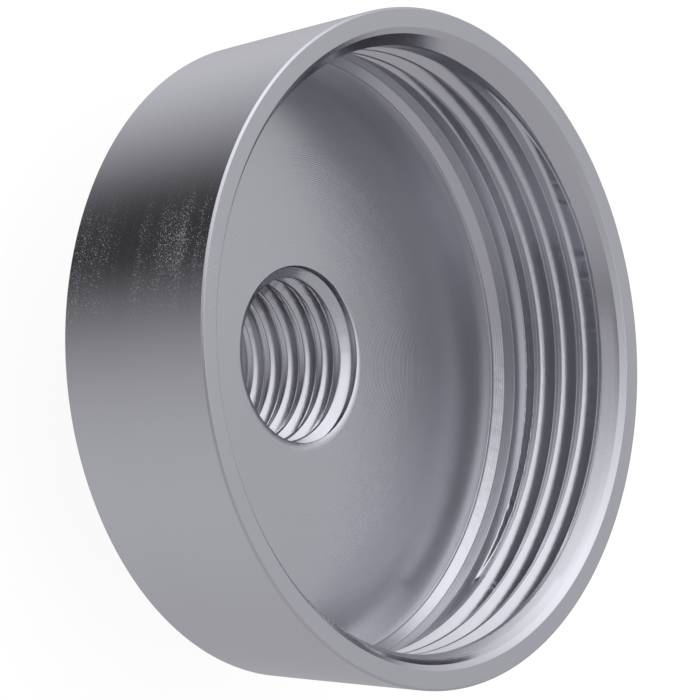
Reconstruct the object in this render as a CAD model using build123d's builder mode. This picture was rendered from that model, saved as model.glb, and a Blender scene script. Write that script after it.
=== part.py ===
"""Threaded cap: a turned cup with a large internal thread at its mouth and a threaded neck behind its floor.

It is one piece of aluminium. Millimetres, +Z up. The cap stands on the end of its neck, with its mouth up:
the origin is the centre of the neck's end face, and +Z is the turning axis, from the neck to the mouth.
"""
import os
from math import radians, tan

from build123d import *

# Cup, outside
mouth_d = 36.4            # outer diameter at the mouth
wall_taper = 1.1          # how much the wall's radius narrows from the mouth to the back
back_d = mouth_d - 2 * wall_taper
cup_height = 10.75        # from the back of the cup to its mouth
rim_break = 0.12          # chamfer on the rim's outer edge
back_break = 0.25         # chamfer on the cup's back edge

# Neck behind the floor
neck_d = 16.0
neck_length = 7.05
neck_break = 0.4          # chamfer on the neck's end
neck_fillet = 0.8         # where the neck meets the cup's back

# Mouth thread, right-handed
thread_wall = 1.2         # from the thread's root to the outside of the mouth
thread_height = 0.775     # from the root to the crest
thread_major_d = mouth_d - 2 * thread_wall
thread_bore_d = thread_major_d - 2 * thread_height  # the bore before threading, which leaves the crests
thread_pitch = 1.5
thread_crest_flat = 0.21
thread_angle = 60.0
thread_first_depth = 2.345  # from the mouth to the second crest's upper corner, at azimuth 0
thread_start_azimuth = 66.0
thread_turns = 3.26

# Inside of the cup, by depth below the mouth
mouth_opening_d = thread_major_d + 0.24
lead_in_d = thread_major_d - 0.4   # where the entry chamfer ends and the lead-in cone begins
lead_in_start_depth = 0.27
lead_in_end_depth = 1.03  # where the cone meets the thread's bore
relief_start_depth = 5.64
relief_d = thread_major_d - 0.16  # the thread relief's floor
relief_floor_depth = 7.74
relief_end_depth = 8.42
floor_d = thread_bore_d + 0.31
floor_land = 0.12         # short straight wall at the edge of the floor
floor_depth = 8.98

# Threaded hole through the floor and the neck
hole_d = 8.8              # tap drill, at the crests of the fine thread
hole_countersink_d = hole_d + 1.3
hole_countersink_angle = 120.0  # included
neck_countersink_d = hole_d + 1.5
neck_countersink_angle = 90.0   # included

height = neck_length + cup_height
floor_z = height - floor_depth


def at_depth(diameter, depth):
    """A point of the half section, at a diameter and a depth below the mouth."""
    return (diameter / 2, height - depth)


def countersink_height(outer_d, inner_d, included_angle):
    """Axial height of a cone that narrows from one diameter to another."""
    return (outer_d - inner_d) / 2 / tan(radians(included_angle / 2))


outside = [
    (0, 0),
    (neck_d / 2 - neck_break, 0),
    (neck_d / 2, neck_break),
    (neck_d / 2, neck_length),
    (back_d / 2 - back_break, neck_length),
    (back_d / 2, neck_length + back_break),
    at_depth(mouth_d, rim_break),
    at_depth(mouth_d - 2 * rim_break, 0),
    (0, height),
]

pocket = [
    (0, floor_z),
    at_depth(floor_d, floor_depth),
    at_depth(floor_d, floor_depth - floor_land),
    at_depth(relief_d, relief_end_depth),
    at_depth(relief_d, relief_floor_depth),
    at_depth(thread_bore_d, relief_start_depth),
    at_depth(thread_bore_d, lead_in_end_depth),
    at_depth(lead_in_d, lead_in_start_depth),
    at_depth(mouth_opening_d, 0),
    (0, height),
]

hole = [
    (0, 0),
    (neck_countersink_d / 2, 0),
    (hole_d / 2, countersink_height(neck_countersink_d, hole_d, neck_countersink_angle)),
    (hole_d / 2, floor_z - countersink_height(hole_countersink_d, hole_d, hole_countersink_angle)),
    (hole_countersink_d / 2, floor_z),
    (0, floor_z),
]

# The thread's groove: a trapezium whose flanks lean by half the thread's angle
groove_mouth = thread_pitch - thread_crest_flat
groove_root = groove_mouth - 2 * thread_height * tan(radians(thread_angle / 2))
overcut = 0.1             # how far the cutter's section stands inside the bore, neighbouring turns apart
overcut_mouth = groove_mouth + 2 * overcut * tan(radians(thread_angle / 2))
groove_centre_depth = (
    thread_first_depth - groove_mouth / 2
    - thread_pitch * thread_start_azimuth / 360
    + thread_pitch * thread_turns
)
groove_start_azimuth = thread_start_azimuth - 360 * thread_turns

half_section = Plane.XZ.rotated((0, 0, 180))  # its seam lies away from the groove's two ends

with BuildPart() as threaded_cap:
    with BuildSketch(half_section):
        with BuildLine():
            Polyline(*outside, close=True)
        make_face()
    revolve(axis=Axis.Z)
    neck_corner = threaded_cap.edges().filter_by(GeomType.CIRCLE).filter_by(
        lambda edge: abs(edge.radius - neck_d / 2) < 0.01 and abs(edge.center().Z - neck_length) < 0.01
    )
    fillet(neck_corner, neck_fillet)

    with BuildSketch(half_section):
        with BuildLine():
            Polyline(*pocket, close=True)
        make_face()
    revolve(axis=Axis.Z, mode=Mode.SUBTRACT)

    with BuildSketch(half_section):
        with BuildLine():
            Polyline(*hole, close=True)
        make_face()
    revolve(axis=Axis.Z, mode=Mode.SUBTRACT)

    groove_plane = Plane.XY.offset(height - groove_centre_depth).rotated((0, 0, groove_start_azimuth))
    with BuildLine(groove_plane) as groove_path:
        Helix(pitch=thread_pitch, height=thread_pitch * thread_turns, radius=thread_bore_d / 2)
    start = groove_path.line @ 0
    outwards = Vector(start.X, start.Y, 0).normalized()
    with BuildSketch(Plane(origin=start, x_dir=outwards, z_dir=groove_path.line % 0)):
        with BuildLine():
            Polyline(
                (-overcut, -overcut_mouth / 2),
                (thread_height, -groove_root / 2),
                (thread_height, groove_root / 2),
                (-overcut, overcut_mouth / 2),
                close=True,
            )
        make_face()
    sweep(path=groove_path.line, is_frenet=True, mode=Mode.SUBTRACT)

threaded_cap.part.label = "threaded_cap"

os.makedirs("parts", exist_ok=True)
export_step(threaded_cap.part, "parts/threaded_cap.step")
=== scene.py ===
"""The looks of a turned aluminium cap: a threaded cup on a threaded neck.

Metres throughout, in the frame of the CAD: the cap stands on the end of its neck, with its mouth up.
"""

from math import radians

import bpy
import numpy as np
from mathutils import Matrix


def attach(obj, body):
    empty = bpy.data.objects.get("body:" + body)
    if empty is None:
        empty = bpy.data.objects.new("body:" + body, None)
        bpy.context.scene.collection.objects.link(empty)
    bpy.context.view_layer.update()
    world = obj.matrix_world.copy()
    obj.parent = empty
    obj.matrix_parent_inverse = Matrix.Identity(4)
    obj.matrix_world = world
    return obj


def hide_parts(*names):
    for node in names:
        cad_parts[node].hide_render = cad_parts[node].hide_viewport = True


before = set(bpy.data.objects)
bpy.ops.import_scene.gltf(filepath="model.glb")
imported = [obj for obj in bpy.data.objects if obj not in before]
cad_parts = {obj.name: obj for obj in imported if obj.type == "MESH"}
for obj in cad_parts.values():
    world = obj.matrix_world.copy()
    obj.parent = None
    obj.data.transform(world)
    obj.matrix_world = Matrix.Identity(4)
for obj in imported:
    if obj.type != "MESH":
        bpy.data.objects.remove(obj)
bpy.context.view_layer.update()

MM = 0.001
HEIGHT = 17.8             # millimetres, from the neck's end to the mouth
FLOOR_DEPTH = 8.98        # from the mouth to the cup's floor
MOUTH_THREAD_TOP = 0.27   # depths between which the mouth's thread is drawn
MOUTH_THREAD_END = 7.70
THREAD_ROOT = 17.03       # radius
FLANK_SLOPE = 1.732       # how fast a 60 degree thread's flank closes in, from the groove's middle


# ---------------------------------------------------------------- shape

def ring_angles(count, fine_share, fine_from, fine_to):
    """Azimuths in degrees around the ring, closer together between fine_from and fine_to.

    The spacing is the inverse of a density that is 1 outside the fine span and rises to fine_share inside it.
    """
    dense = np.linspace(-180, 180, 7201)
    rise = 1 / (1 + np.exp(-(dense - fine_from) / 4)) - 1 / (1 + np.exp(-(dense - fine_to) / 4))
    density = 1 + (fine_share - 1) * rise
    total = np.concatenate([[0], np.cumsum((density[1:] + density[:-1]) / 2)])
    return np.interp(np.arange(count) / count * total[-1], total, dense)


def wobble(azimuth, waves, seed):
    """A closed random curve around the ring, from -1 to 1: random values at even steps, joined smoothly."""
    values = np.random.default_rng(seed).uniform(-1, 1, waves)
    place = (azimuth + 180) / 360 * waves
    low = np.floor(place).astype(int)
    share = place - low
    share = share * share * (3 - 2 * share)
    return values[low % waves] * (1 - share) + values[(low + 1) % waves] * share


def larger(a, b, round_off):
    """The larger of two radii, with the corner where they cross rounded off."""
    return (a + b + np.sqrt((a - b) ** 2 + round_off ** 2)) / 2


def smaller(a, b, round_off):
    """The smaller of two radii, with the corner where they cross rounded off."""
    return (a + b - np.sqrt((a - b) ** 2 + round_off ** 2)) / 2


def ramp(x, start, end):
    """0 before start, 1 after end and a smooth step between them."""
    share = np.clip((x - start) / (end - start), 0, 1)
    return share * share * (3 - 2 * share)


class Thread:
    """A right-handed thread cut into a bore.

    The groove's centre lies at centre - pitch * azimuth / 360 below the mouth, so it rises with the azimuth.
    Its section is a 60 degree V with a flat root. `reach` gives the root's radius and how far the tool is drawn
    back at each turn, and `nicks` how far burrs stand into the groove.
    """

    def __init__(self, pitch, crest, root, flat, centre, turns, reach, nicks):
        self.pitch, self.crest, self.root, self.flat = pitch, crest, root, flat
        self.centre, self.turns, self.reach, self.nicks = centre, turns, reach, nicks

    def centres(self, azimuth):
        """Depth of each turn's centre, at each azimuth."""
        return [self.centre - self.pitch * azimuth / 360 + self.pitch * turn for turn in self.turns]

    def corners(self, azimuth):
        """Depths of the two corners of every turn's groove, where it meets the crests."""
        half_mouth = (self.pitch - self.flat) / 2
        return [centre + side * half_mouth for centre in self.centres(azimuth) for side in (-1, 1)]

    def cut(self, bore, depth, azimuth, burrs=1.0):
        """The bore's radius with the groove cut into it: the larger of the bore and the V at each turn."""
        half_mouth = (self.pitch - self.flat) / 2
        radius = bore
        for turn, centre in zip(self.turns, self.centres(azimuth)):
            unwound = azimuth - 360 * turn
            root, back = self.reach(unwound)
            upper, lower = self.nicks(unwound, azimuth, turn)
            x = depth - centre
            off = np.where(x < 0, -x + upper * burrs, x + lower * burrs)
            flank = self.crest - back - (off - half_mouth) * FLANK_SLOPE
            radius = larger(radius, smaller(root - back, flank, 0.05), 0.022)
        return radius


def mouth_reach(unwound):
    """The tool comes in along the first turn, and draws back where the last turn meets the relief."""
    come_in = 0.85 * ramp(unwound, 15, 72)
    draw_back = np.interp(-unwound, [1090, 1110, 1120, 1127, 1140], [0, 0.08, 0.18, 0.33, 1.4])
    return np.full_like(unwound, THREAD_ROOT), come_in + draw_back


def mouth_nicks(unwound, azimuth, turn):
    """How far the burred edges stand into the groove, above it and below it."""
    fine = 0.005 * wobble(azimuth, 560, 11 + turn) + 0.003 * wobble(azimuth, 210, 31 + turn)
    first = (turn == 0) * ramp(azimuth, -25, -5) * (1 - ramp(azimuth, 50, 66))
    last = (turn == 3) * ramp(azimuth, -52, -38) * (1 - ramp(azimuth, 0, 14))
    torn = np.clip(wobble(azimuth, 300, 51 + turn) * 0.7 + wobble(azimuth, 760, 71) * 0.6 - 0.15, 0, 0.6)
    return fine + first * torn * 0.07, fine * 0.8 + last * torn * 0.09


def neck_reach(unwound):
    return np.full_like(unwound, 5.0), np.zeros_like(unwound)


def neck_nicks(unwound, azimuth, turn):
    return 0.004 * wobble(azimuth, 90, 91 + turn), 0.004 * wobble(azimuth, 90, 111 + turn)


def row_depths(thread, bore, azimuth, first, last, rows):
    """Depths of the rows at each azimuth, from first to last, closest together where the half section bends.

    Each column's rows stand at even shares of a running total, which grows with the turn of the half section.
    """
    dense = np.linspace(min(first, last), max(first, last), 1500)
    step = dense[1] - dense[0]
    radius = thread.cut(lead(dense, bore)[None, :], dense[None, :], azimuth[:, None], 0.0)
    bend = np.abs(np.gradient(np.arctan(np.gradient(radius, step, axis=1)), step, axis=1))
    spread = np.exp(-(np.arange(-0.12, 0.12, step) / 0.045) ** 2 / 2)
    spread /= spread.sum()
    total = np.cumsum([1 + np.convolve(column, spread, "same") for column in bend], axis=1)
    total = (total - total[:, :1]) / (total[:, -1:] - total[:, :1])
    shares = np.linspace(0, 1, rows)
    depth = np.array([np.interp(shares, column, dense) for column in total]).T
    return depth if first < last else depth[::-1]


def lead(depth, points):
    """A half section's radius at a depth, between its points."""
    known = np.array(sorted(points))
    return np.interp(depth, known[:, 0], known[:, 1])


def softened(points, size=0.03):
    """A half section with a small arc at each corner, as rows of radius, depth and the outward normal.

    Each corner becomes three rows: where the arc starts, its middle and where it ends. The flats on either
    side keep their own normals up to the arc, so only the arc catches the light. A point may carry its arc's
    size.
    """
    sizes = np.array([p[2] if len(p) > 2 else size for p in points])[1:-1, None]
    points = np.array([p[:2] for p in points], float)
    run = np.diff(points, axis=0)
    run /= np.linalg.norm(run, axis=1, keepdims=True)
    normal = np.stack([run[:, 1], run[:, 0]], axis=1)      # in radius and height
    lengths = np.linalg.norm(np.diff(points, axis=0), axis=1, keepdims=True)
    cut = np.minimum(sizes, 0.35 * np.minimum(lengths[:-1], lengths[1:]))
    here = points[1:-1]
    start, end = here - run[:-1] * cut, here + run[1:] * cut
    middle = here * 0.5 + (start + end) * 0.25
    between = normal[:-1] + normal[1:]
    between /= np.linalg.norm(between, axis=1, keepdims=True)
    straight = (normal[:-1] * normal[1:]).sum(axis=1) > 0.9999
    corner = [np.hstack([start, normal[:-1]]), np.hstack([middle, between]), np.hstack([end, normal[1:]])]
    rows = np.stack(corner, axis=1)
    keep = np.ones(rows.shape[:2], bool)
    keep[straight, 0] = keep[straight, 2] = False
    inner = rows[keep]
    return np.vstack([np.hstack([points[0], normal[0]]), inner, np.hstack([points[-1], normal[-1]])])


# Bores as (depth, radius)
MOUTH_BORE = [(MOUTH_THREAD_TOP, 16.80), (1.03, 16.225), (5.64, 16.225), (MOUTH_THREAD_END, 16.93)]
NECK_BORE = [(FLOOR_DEPTH, 5.05), (9.30, 4.42), (17.05, 4.4), (HEIGHT, 5.15)]
mouth_thread = Thread(pitch=1.5, crest=16.225, root=THREAD_ROOT, flat=0.21, centre=1.70, turns=range(-1, 5),
                      reach=mouth_reach, nicks=mouth_nicks)
neck_thread = Thread(pitch=1.25, crest=4.4, root=5.0, flat=0.16, centre=13.14, turns=range(-5, 6),
                     reach=neck_reach, nicks=neck_nicks)

azimuth = ring_angles(540, 4.6, -62, 82)
coarse = azimuth[::3]

# Half sections, as (radius, depth below the mouth), in the order of the rows
floor_part = softened([(5.05, FLOOR_DEPTH), (8, FLOOR_DEPTH), (11.0, FLOOR_DEPTH), (11.8, FLOOR_DEPTH),
                       (16.40, FLOOR_DEPTH, 0.09), (16.42, 8.86), (16.86, 8.42), (16.95, 7.80), (17.02, 7.76),
                       (16.94, 7.72), (16.935, 7.705)])
rim_part = softened([(16.812, 0.26), (17.12, 0, 0.02), (17.5, 0), (18.08, 0), (18.2, 0.12), (18.1, 1.1),
                     (17.7, 4.9), (17.3, 8.7), (17.1, 10.5), (16.85, 10.75), (14, 10.75), (9.2, 10.75),
                     (8.82, 10.75)], 0.02)
fillet_turn = np.radians(np.linspace(0, 90, 7))
fillet = np.stack([8.8 - 0.8 * np.sin(fillet_turn), 11.55 - 0.8 * np.cos(fillet_turn),
                   np.sin(fillet_turn), -np.cos(fillet_turn)], axis=1)
neck_part = softened([(8, 11.57), (8, 14.5), (8, HEIGHT - 0.4), (7.6, HEIGHT), (6.4, HEIGHT),
                      (5.15, HEIGHT)], 0.05)

thread_depth = row_depths(mouth_thread, MOUTH_BORE, azimuth, MOUTH_THREAD_END, MOUTH_THREAD_TOP, 89)
thread_radius = mouth_thread.cut(lead(thread_depth, MOUTH_BORE), thread_depth, azimuth[None, :])
settle = ramp(thread_depth, MOUTH_THREAD_TOP, 0.34) * (1 - ramp(thread_depth, 7.6, MOUTH_THREAD_END))
thread_radius = thread_radius * settle + lead(thread_depth, MOUTH_BORE) * (1 - settle)


def rings(section, count):
    """A half section carried round: radius and depth are the same at every azimuth."""
    return np.repeat(section[:, :1], count, axis=1), np.repeat(section[:, 1:2], count, axis=1)


def place(radius, depth, angles):
    """Points at a radius, an azimuth and a depth below the mouth, in metres, as rows by columns."""
    turn = np.radians(angles)[None, :]
    return np.stack([radius * np.cos(turn), radius * np.sin(turn), HEIGHT - depth], axis=-1) * MM


def leaning(section, angles):
    """A half section's normals, carried round."""
    turn = np.radians(angles)[None, :]
    out, up = section[:, 2:3], section[:, 3:4]
    return np.stack([out * np.cos(turn), out * np.sin(turn), up * np.ones_like(turn)], axis=-1)


def facing(grid):
    """Normals of a closed ring grid: the cross product of the steps along its rows and along its columns."""
    down = np.gradient(grid, axis=0)
    on = np.roll(grid, -1, axis=1) - np.roll(grid, 1, axis=1)
    normal = np.cross(down, on)
    return normal / np.linalg.norm(normal, axis=-1, keepdims=True)


sections = [floor_part, None, rim_part, fillet, neck_part]
parts = [(thread_radius, thread_depth) if part is None else rings(part, len(azimuth)) for part in sections]
zones = np.concatenate([np.full(len(p[0]), i) for i, p in enumerate(parts)])
cup_radius = np.concatenate([p[0] for p in parts])
cup_depth = np.concatenate([p[1] for p in parts])
normals = [facing(place(thread_radius, thread_depth, azimuth)) if part is None else leaning(part, azimuth)
           for part in sections]

hole_depth = row_depths(neck_thread, NECK_BORE, coarse, HEIGHT, FLOOR_DEPTH, 100)[1:-1]
hole_radius = neck_thread.cut(lead(hole_depth, NECK_BORE), hole_depth, coarse[None, :])
settle = ramp(hole_depth, FLOOR_DEPTH, FLOOR_DEPTH + 0.3) * (1 - ramp(hole_depth, HEIGHT - 0.3, HEIGHT))
hole_radius = np.maximum(hole_radius, lead(hole_depth, NECK_BORE))
hole_radius = np.minimum(hole_radius, np.where(settle < 1, 5.15, 9))


def quads(rows, columns, first):
    """Four-cornered faces between neighbouring rows and columns of a closed ring grid."""
    row, column = np.meshgrid(np.arange(rows - 1), np.arange(columns), indexing="ij")
    on = (column + 1) % columns
    return first + np.stack([row * columns + column, (row + 1) * columns + column,
                             (row + 1) * columns + on, row * columns + on], axis=-1).reshape(-1, 4)


def stitch(fine_first, coarse_first, fine_columns, turned):
    """Three-cornered faces that join a ring to one with a third of its points: four for each wide step."""
    step = np.arange(fine_columns // 3)
    fine = [fine_first + (3 * step + k) % fine_columns for k in range(4)]
    near, far = coarse_first + step, coarse_first + (step + 1) % len(step)
    corners = [(fine[0], near, fine[1]), (fine[1], near, far), (fine[1], far, fine[2]), (fine[2], far, fine[3])]
    faces = np.stack([np.stack(three, axis=-1) for three in corners], axis=1).reshape(-1, 3)
    return faces[:, ::-1] if turned else faces


columns, hole_columns = len(azimuth), len(coarse)
hole = place(hole_radius, hole_depth, coarse)
points = np.concatenate([place(cup_radius, cup_depth, azimuth).reshape(-1, 3), hole.reshape(-1, 3)])
normals = np.concatenate([part.reshape(-1, 3) for part in normals] + [facing(hole).reshape(-1, 3)])
cup_rows, hole_rows = len(cup_radius), len(hole_radius)
hole_first = cup_rows * columns
squares = np.concatenate([quads(cup_rows, columns, 0), quads(hole_rows, hole_columns, hole_first)])
triangles = np.concatenate([
    stitch((cup_rows - 1) * columns, hole_first, columns, False),
    stitch(0, hole_first + (hole_rows - 1) * hole_columns, columns, True)])

mesh = bpy.data.meshes.new("turned_cap")
mesh.from_pydata(points, [], squares.tolist() + triangles.tolist())
mesh.validate()
cap = bpy.data.objects.new("turned_cap", mesh)
bpy.context.scene.collection.objects.link(cap)

FLOOR_ZONE, THREAD_ZONE, RIM_ZONE, FILLET_ZONE, NECK_ZONE, HOLE_ZONE = range(6)
SLOPE_STRETCH = 1.4       # how much longer the way over a thread is than its depth
EDGE_WIDTH = 0.05
HOLE_STARTS_AT = 200      # far from the cup's own distances

# How far along the half section each point lies, in millimetres, and how near a crest's edge
step = np.concatenate([[0], np.hypot(np.diff(cup_radius.mean(axis=1)), np.diff(cup_depth.mean(axis=1)))])
along = np.repeat(np.cumsum(step)[:, None], columns, axis=1)
in_thread = zones == THREAD_ZONE
start = along[in_thread][:1]
along[in_thread] = start + (MOUTH_THREAD_END - cup_depth[in_thread]) * SLOPE_STRETCH
edge = np.zeros_like(cup_radius)
for corner in mouth_thread.corners(azimuth):
    near = np.exp(-((cup_depth[in_thread] - corner[None, :]) / EDGE_WIDTH) ** 2)
    edge[in_thread] = np.maximum(edge[in_thread], near)
edge[in_thread] *= 1 - ramp(cup_radius[in_thread], 16.3, 16.45)
across = np.concatenate([along.ravel(), (HOLE_STARTS_AT + hole_depth * SLOPE_STRETCH).ravel()])

# How torn the cut is: 0 is smooth, 1 is torn, and above 1 it is patchy as well. The floor's rings end at 11 mm
# from the axis, the lead-in cone is smooth at its top and torn below, and the floor's edge is patchy
SMOOTH, HALF_TORN, TORN = 0.05, 0.5, 1.0
RINGS_END = 11.1          # radii
FLOOR_END = 16.41
RIM_INNER_EDGE = 17.15
RIM_OUTER_EDGE = 18.06
FLOOR_CONE_START = 8.35   # depths
LEAD_IN_END = 1.06
HOLE_ENTRY_END = 9.33
on_floor = (zones == FLOOR_ZONE)[:, None]
torn = np.full_like(cup_radius, SMOOTH)
torn[on_floor & (cup_radius < RINGS_END)] = TORN
torn[on_floor & (cup_radius > FLOOR_END)] = HALF_TORN
patchy = HALF_TORN + 1.5 * ramp(azimuth, -62, -42) * (1 - ramp(azimuth, -4, 8))
torn = np.where(on_floor & (cup_radius > FLOOR_END) & (cup_depth > FLOOR_CONE_START), patchy[None, :], torn)
torn[in_thread] = 0.12 + 0.35 * edge[in_thread]
torn_side = 0.05 + 0.95 * (1 - ramp(azimuth, 2, 14))
lead_in = in_thread[:, None] & (cup_depth < LEAD_IN_END)
torn = np.where(lead_in, ramp(cup_depth, 0.49, 0.57) * torn_side[None, :], torn)
torn[zones == RIM_ZONE] = 0.1
rim = (zones == RIM_ZONE)[:, None] & (cup_depth < 0.1)
torn[rim] = 0.02
torn[rim & (cup_radius < RIM_INNER_EDGE) & (np.abs(azimuth + 30) < 55)[None, :]] = TORN
torn[rim & (cup_radius > RIM_OUTER_EDGE)] = HALF_TORN
torn = np.concatenate([torn.ravel(), np.where(hole_depth < HOLE_ENTRY_END, TORN, 0.4).ravel()])
for name, values in (("across", across), ("torn", torn)):
    layer = mesh.attributes.new(name, "FLOAT", "POINT")
    layer.data.foreach_set("value", values.astype(np.float32))

FINISHES = {FLOOR_ZONE: "floor", THREAD_ZONE: "thread", RIM_ZONE: "wall", FILLET_ZONE: "wall",
            NECK_ZONE: "wall", HOLE_ZONE: "bore"}
hole_faces = (hole_rows - 1) * hole_columns + len(triangles)
zone_of_face = np.concatenate([zones[:-1].repeat(columns), np.full(hole_faces, HOLE_ZONE)])
mesh.polygons.foreach_set("use_smooth", np.ones(len(mesh.polygons), bool))


# ---------------------------------------------------------------- finishes

def node(tree, kind, inputs=(), **settings):
    """A node with its settings, and its inputs given as values or as the sockets that feed them."""
    made = tree.nodes.new("ShaderNode" + kind)
    for key, value in settings.items():
        setattr(made, key, value)
    for key, value in dict(inputs).items():
        if isinstance(value, bpy.types.NodeSocket):
            tree.links.new(value, made.inputs[key])
        else:
            made.inputs[key].default_value = value
    return made


def maths(tree, operation, first, second=0.0):
    return node(tree, "Math", {0: first, 1: second}, operation=operation).outputs[0]


WORN_SIDE = (-0.961, 0.276, 0)  # the side of the outer wall that handling has worn
TONE_SPREAD = 0.15        # how far the colour strays where the finish is uneven
PATCH_DEPTH = 0.035       # millimetres
CROWDING = 0.35           # how strongly the specks on the worn side gather
GRAIN_SCALE = 15000.0     # noise scales, per metre
SPECK_SCALE = 12000.0
PATCH_SCALE = 1500.0
CLOUD_SCALE = 260.0


def turned_metal(name, colour, roughness, torn_roughness, streaks, marks, pitch, grain, pits, anisotropy):
    """Bare aluminium as a lathe leaves it. Rings follow the distance along the half section.

    torn_roughness: what torn metal adds. streaks: how strongly rings of uneven finish show. marks: height of
    the tool's rings, in millimetres, and pitch their spacing. grain: height of the fine tearing, and pits the
    roughness of the specks on the worn side.
    """
    material = bpy.data.materials.new(name)
    material.use_nodes = True
    tree = material.node_tree
    shader = tree.nodes["Principled BSDF"]
    place = node(tree, "TexCoord").outputs["Object"]
    flat = node(tree, "VectorMath", {0: place, 1: (1, 1, 0)}, operation="MULTIPLY").outputs[0]
    round_ = node(tree, "VectorMath", {0: flat}, operation="NORMALIZE").outputs[0]
    across = node(tree, "Attribute", attribute_name="across").outputs["Fac"]
    torn = node(tree, "Attribute", attribute_name="torn").outputs["Fac"]
    lift = node(tree, "CombineXYZ", {2: across}).outputs[0]

    def rings(turns, per_mm, detail=2.0):
        """Noise drawn out round the axis: `turns` sets how often it changes round the ring."""
        around = node(tree, "VectorMath", {0: round_, 3: turns}, operation="SCALE").outputs[0]
        up = node(tree, "VectorMath", {0: lift, 3: per_mm}, operation="SCALE").outputs[0]
        spot = node(tree, "VectorMath", {0: around, 1: up}, operation="ADD").outputs[0]
        return node(tree, "TexNoise", {"Vector": spot, "Scale": 1.0, "Detail": detail}).outputs["Fac"]

    def noise(scale, detail):
        return node(tree, "TexNoise", {"Vector": place, "Scale": scale, "Detail": detail}).outputs["Fac"]

    def scaled(value, by, centre=0.5):
        return maths(tree, "MULTIPLY", maths(tree, "SUBTRACT", value, centre), by)

    fine = rings(0.7, 9.0)
    broad = rings(0.5, 1.1)
    tears = noise(GRAIN_SCALE, 2.0)
    patches = noise(PATCH_SCALE, 3.0)
    clouds = noise(CLOUD_SCALE, 3.0)

    uneven = maths(tree, "ADD", scaled(fine, streaks), scaled(broad, streaks))
    uneven = maths(tree, "ADD", uneven, scaled(clouds, streaks))
    rough = maths(tree, "ADD", roughness, scaled(uneven, 0.5, 0.0))
    rough = maths(tree, "ADD", rough, maths(tree, "MULTIPLY", torn, torn_roughness))
    tree.links.new(rough, shader.inputs["Roughness"])

    tone = maths(tree, "ADD", 0.5, uneven)
    mix = node(tree, "MixRGB", {"Fac": tone, "Color1": [c * (1 - TONE_SPREAD) for c in colour] + [1],
                                "Color2": [c * (1 + TONE_SPREAD) for c in colour] + [1]})
    tree.links.new(mix.outputs[0], shader.inputs["Base Color"])

    wave = maths(tree, "SINE", maths(tree, "MULTIPLY", across, 2 * np.pi / pitch))
    ringed = maths(tree, "ADD", maths(tree, "MULTIPLY", wave, 0.5), fine)
    rough_cut = node(tree, "Clamp", {"Value": torn}).outputs[0]
    height = maths(tree, "ADD", maths(tree, "MULTIPLY", ringed, marks), maths(tree, "MULTIPLY", tears, grain))
    height = maths(tree, "MULTIPLY", height, rough_cut)
    patchy = maths(tree, "MAXIMUM", maths(tree, "SUBTRACT", torn, 1.0), 0.0)
    patchy = maths(tree, "MULTIPLY", maths(tree, "MULTIPLY", patches, patchy), PATCH_DEPTH)
    height = maths(tree, "ADD", height, patchy)
    if pits:
        side = node(tree, "VectorMath", {0: round_, 1: WORN_SIDE}, operation="DOT_PRODUCT").outputs["Value"]
        worn = node(tree, "MapRange", {"Value": side, "From Min": 0.945, "From Max": 0.99}).outputs[0]
        crowd = maths(tree, "ADD", scaled(clouds, CROWDING), scaled(broad, CROWDING))
        level = maths(tree, "ADD", crowd, maths(tree, "MULTIPLY", worn, 0.16))
        level = maths(tree, "ADD", noise(SPECK_SCALE, 1.5), level)
        deep = node(tree, "MapRange", {"Value": level, "From Min": 0.80, "From Max": 0.88})
        deep = maths(tree, "MULTIPLY", deep.outputs[0], worn)
        rough = maths(tree, "ADD", rough, maths(tree, "MULTIPLY", deep, pits))
        tree.links.new(rough, shader.inputs["Roughness"])
    bump = node(tree, "Bump", {"Height": height, "Distance": MM, "Strength": 1.0})
    tree.links.new(bump.outputs[0], shader.inputs["Normal"])
    tangent = node(tree, "Tangent", direction_type="RADIAL", axis="Z")
    tree.links.new(tangent.outputs[0], shader.inputs["Tangent"])
    shader.inputs["Metallic"].default_value = 1.0
    shader.inputs["Anisotropic"].default_value = anisotropy
    shader.inputs["Anisotropic Rotation"].default_value = 0.25
    return material


ALUMINIUM = (0.66, 0.66, 0.69)
finishes = {
    "floor": turned_metal("turned_floor", ALUMINIUM, roughness=0.23, torn_roughness=0.0, streaks=0.10,
                          marks=0.0028, pitch=0.115, grain=0.0004, pits=0, anisotropy=0.5),
    "thread": turned_metal("cut_thread", ALUMINIUM, roughness=0.12, torn_roughness=0.22, streaks=0.08,
                           marks=0.0006, pitch=0.12, grain=0.020, pits=0, anisotropy=0.3),
    "wall": turned_metal("turned_wall", ALUMINIUM, roughness=0.21, torn_roughness=0.0, streaks=0.10,
                         marks=0.0008, pitch=0.10, grain=0.010, pits=0.45, anisotropy=0.4),
    "bore": turned_metal("cut_bore", ALUMINIUM, roughness=0.13, torn_roughness=0.08, streaks=0.08,
                         marks=0.0006, pitch=0.12, grain=0.007, pits=0, anisotropy=0.3),
}
order = list(finishes)
for name in order:
    mesh.materials.append(finishes[name])
finish_of_zone = np.array([order.index(FINISHES[zone]) for zone in range(len(FINISHES))])
mesh.polygons.foreach_set("material_index", finish_of_zone[zone_of_face])
mesh.update()
mesh.normals_split_custom_set_from_vertices(normals.tolist())

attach(cap, "root")
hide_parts("threaded_cap")


# ---------------------------------------------------------------- stage

def sheet_of(name, corners):
    """A flat four-cornered sheet, which belongs to the stage."""
    data = bpy.data.meshes.new(name)
    data.from_pydata(corners, [], [(0, 1, 2, 3)])
    made = bpy.data.objects.new(name, data)
    bpy.context.scene.collection.objects.link(made)
    return made


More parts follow.
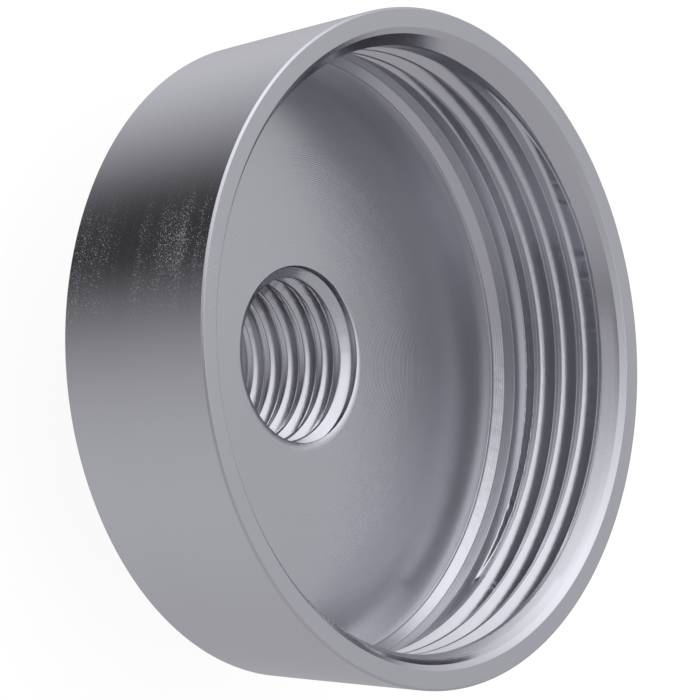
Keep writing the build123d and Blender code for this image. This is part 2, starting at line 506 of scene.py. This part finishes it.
floor = sheet_of("floor", [(-2, -2, 0), (2, -2, 0), (2, 2, 0), (-2, 2, 0)])
paper = bpy.data.materials.new("pale_paper")
paper.use_nodes = True
tree = paper.node_tree
tree.nodes.clear()
seen = node(tree, "LightPath").outputs["Is Camera Ray"]
matt = node(tree, "BsdfDiffuse", {"Color": (0.62, 0.62, 0.64, 1)})
faint = node(tree, "BsdfDiffuse", {"Color": (0.2, 0.2, 0.2, 1)})
white = node(tree, "Emission", {"Color": (1, 1, 1, 1), "Strength": 0.9})
lit = node(tree, "AddShader", {0: white.outputs[0], 1: faint.outputs[0]})
mixed = node(tree, "MixShader", {0: seen, 1: matt.outputs[0], 2: lit.outputs[0]})
out = node(tree, "OutputMaterial", {"Surface": mixed.outputs[0]})
floor.data.materials.append(paper)
floor.visible_glossy = False

world = bpy.data.worlds.new("studio")
bpy.context.scene.world = world
world.use_nodes = True
tree = world.node_tree
tree.nodes.clear()
towards = node(tree, "TexCoord").outputs["Generated"]
# An even grey studio with a few soft panels hung round it. Each has the way to it from the cap, how small it is
# and how much light it adds; the dark cards take light away
STUDIO_LEVEL = 0.44
DARKEST = 0.03
STUDIO_COLOUR = (0.99, 0.99, 1.04)
PANELS = {
    "large panel beyond the far side": ((0.05, 0.80, 0.55), 4, 0.90),
    "panel over the mouth": ((-0.10, 0.10, 1.00), 14, 0.50),
    "low panel under the wall": ((-0.30, -0.40, -0.80), 5, 0.12),
    "panel beyond the wall's top": ((0.50, 0.55, -0.70), 10, 0.20),
    "dark card beside the wall": ((-0.45, 0.55, -0.72), 9, -0.50),
    "dark card behind the camera": ((-0.80, -0.05, 0.60), 12, -0.22),
}


def panel_light(tree, towards, way, smallness, strength, light):
    """The light so far, with a soft round panel added that fades away from its middle."""
    middle = np.array(way) / np.linalg.norm(way)
    facing_it = node(tree, "VectorMath", {0: towards, 1: middle}, operation="DOT_PRODUCT").outputs["Value"]
    fade = maths(tree, "EXPONENT", maths(tree, "MULTIPLY", maths(tree, "SUBTRACT", facing_it, 1.0), smallness))
    return maths(tree, "ADD", maths(tree, "MULTIPLY", fade, strength), light)


light = STUDIO_LEVEL
for way, smallness, strength in PANELS.values():
    light = panel_light(tree, towards, way, smallness, strength, light)
light = maths(tree, "MAXIMUM", light, DARKEST)
total = node(tree, "VectorMath", {0: STUDIO_COLOUR, 3: light}, operation="SCALE").outputs[0]
path = node(tree, "LightPath")
seen = path.outputs["Is Camera Ray"]
colour = node(tree, "MixRGB", {"Fac": seen, "Color1": total, "Color2": (1, 1, 1, 1)}).outputs[0]
back = node(tree, "Background", {"Color": colour, "Strength": 1.0})
node(tree, "OutputWorld", {"Surface": back.outputs[0]})


# ---------------------------------------------------------------- camera

VIEW_AZIMUTH = -177.07    # where the camera stands, in degrees
VIEW_ELEVATION = 39.90
VIEW_ROLL = 85.43
VIEW_DISTANCE = 359.8     # millimetres from the point that it looks at
AIM = (0.15, 0.25, 12.20)

camera = bpy.data.objects.new("camera", bpy.data.cameras.new("camera"))
bpy.context.scene.collection.objects.link(camera)
camera.data.sensor_fit = "HORIZONTAL"
camera.data.sensor_width = 36
camera.data.lens = 344.875
camera.data.clip_start = 0.01
swing = Matrix.Rotation(radians(VIEW_AZIMUTH + 90), 4, "Z")
tilt = Matrix.Rotation(radians(90 - VIEW_ELEVATION), 4, "X")
back_off = Matrix.Translation((0, 0, VIEW_DISTANCE * MM))
aim = Matrix.Translation([place * MM for place in AIM])
camera.matrix_world = aim @ swing @ tilt @ back_off @ Matrix.Rotation(radians(VIEW_ROLL), 4, "Z")
bpy.context.scene.camera = camera
bpy.context.scene.view_settings.view_transform = "Standard"
